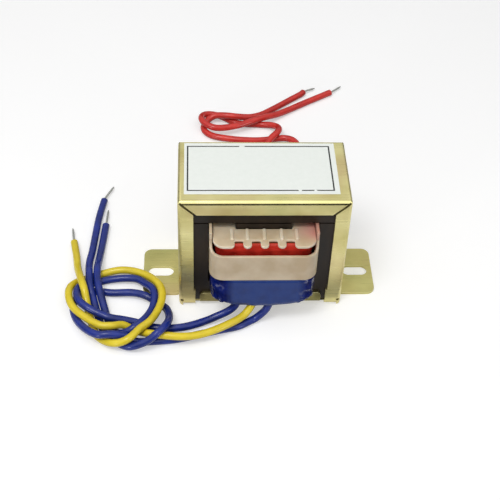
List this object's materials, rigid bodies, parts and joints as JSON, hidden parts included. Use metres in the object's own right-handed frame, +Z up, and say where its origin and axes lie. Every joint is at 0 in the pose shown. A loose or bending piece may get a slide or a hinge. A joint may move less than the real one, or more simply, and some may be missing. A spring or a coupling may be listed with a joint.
{
  "type": "isolation transformer",
  "caption": "Open-frame isolation transformer: laminated core in a folded steel bracket with slotted feet, moulded coil former in its cup, tape-wrapped windings and knotted flying leads.",
  "frame": {"origin": "on the mounting plane under the feet, midway between the two foot slots", "axes": "+X along the feet, +Z up away from the mounting plane, -Y towards the face where the blue and yellow leads hang out"},
  "size_m": [0.1144, 0.1552, 0.0507],
  "materials": {
    "plated_steel": "yellow passivated zinc plating, satin",
    "lamination_steel": "varnished silicon steel edges, satin",
    "nylon": "moulded natural nylon, slightly translucent",
    "copper": "enamelled copper wire",
    "red_tape": "polyester film tape",
    "blue_tape": "polyester film tape",
    "sleeving": "woven glass sleeving",
    "label_paper": "white paper label with a printed border",
    "red_pvc": "extruded PVC",
    "blue_pvc": "extruded PVC",
    "yellow_pvc": "extruded PVC",
    "tinned_wire": "tinned copper strands"
  },
  "bodies": {
    "root": {"bracket_frame": "plated_steel", "base_plate": "plated_steel", "e_laminations": "lamination_steel", "i_laminations": "lamination_steel", "primary_bobbin": "nylon", "secondary_bobbin": "nylon", "primary_winding": "copper", "secondary_winding": "copper", "primary_tape": "red_tape", "secondary_tape": "blue_tape", "primary_splices": "sleeving", "secondary_splices": "sleeving", "label": "label_paper", "red_lead_a": "red_pvc", "red_lead_b": "red_pvc", "blue_lead_a": "blue_pvc", "blue_lead_b": "blue_pvc", "yellow_lead": "yellow_pvc", "red_end_a": "tinned_wire", "red_end_b": "tinned_wire", "blue_end_a": "tinned_wire", "blue_end_b": "tinned_wire", "yellow_end": "tinned_wire"}
  },
  "joints": []
}
